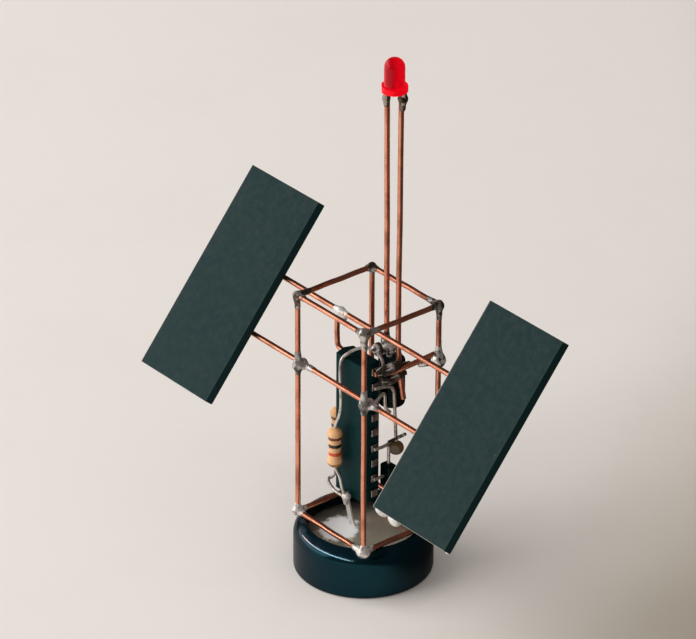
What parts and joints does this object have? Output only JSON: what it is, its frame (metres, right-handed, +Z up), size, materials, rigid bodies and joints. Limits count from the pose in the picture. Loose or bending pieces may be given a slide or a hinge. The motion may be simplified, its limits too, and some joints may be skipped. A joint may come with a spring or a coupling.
{
  "type": "desk model satellite",
  "caption": "Small desk model of a satellite, soldered from bare copper wire and electronic parts, standing on a coin-shaped capacitor.",
  "frame": {"origin": "centre of the base's flat underside", "axes": "+Z up through the base to the lamp, X along the two long wires that carry the solar plates, Y from the front of the cage to its back"},
  "size_m": [0.0694, 0.0256, 0.0824],
  "materials": {
    "copper": "bare drawn copper wire, slightly dulled",
    "tinned_metal": "tin-coated metal, satin",
    "lead_metal": "tinned component lead, satin",
    "pin_metal": "tinned pin, dull",
    "solder": "soft solder, bright and rounded",
    "can_metal": "drawn metal lid, polished",
    "sleeve": "shrunk plastic sleeve, glossy",
    "solar_plate": "resin-coated solar cell, semi-gloss",
    "chip_black": "moulded chip package, matte",
    "resistor_tan": "lacquered resistor body with colour bands",
    "part_black": "moulded black part, satin",
    "dipped_brown": "dipped lacquer, semi-gloss",
    "lens_red": "clear red lens, glossy"
  },
  "bodies": {
    "root": {"base_can": "can_metal", "base_sleeve": "sleeve", "base_tab": "tinned_metal", "bottom_rail_back": "copper", "bottom_rail_front": "copper", "bottom_rail_left": "copper", "bottom_rail_right": "copper", "bulk_capacitor": "part_black", "bulk_lead_left": "lead_metal", "bulk_lead_right": "lead_metal", "bus_wire": "tinned_metal", "chip_body": "chip_black", "chip_pins_left": "pin_metal", "chip_pins_right": "pin_metal", "cross_link": "copper", "device_body": "part_black", "disc_capacitor": "dipped_brown", "lamp_leg_left": "lead_metal", "lamp_leg_right": "lead_metal", "lamp_lens": "lens_red", "lead_device": "lead_metal", "lead_device_upper": "lead_metal", "lead_disc": "lead_metal", "lead_hook": "lead_metal", "lead_long": "lead_metal", "panel_left": "solar_plate", "panel_left_joints": "solder", "panel_right": "solar_plate", "panel_right_joints": "solder", "panel_wire_lower": "copper", "panel_wire_upper": "copper", "post_back": "copper", "post_front": "copper", "post_left": "copper", "post_right": "copper", "resistor_front_body": "resistor_tan", "resistor_front_lead_lower": "lead_metal", "resistor_front_lead_upper": "lead_metal", "resistor_rear_body": "resistor_tan", "resistor_rear_lead_lower": "lead_metal", "resistor_rear_lead_upper": "lead_metal", "solder_bottom_corners": "solder", "solder_bus": "solder", "solder_crossings": "solder", "solder_lamp": "solder", "solder_link": "solder", "solder_stay": "solder", "solder_stem_foot": "solder", "solder_tab": "solder", "solder_top_corners": "solder", "stay_wire": "copper", "stem_left": "copper", "stem_right": "copper", "top_rail_back": "copper", "top_rail_front": "copper", "top_rail_left": "copper", "top_rail_right": "copper"}
  },
  "joints": []
}
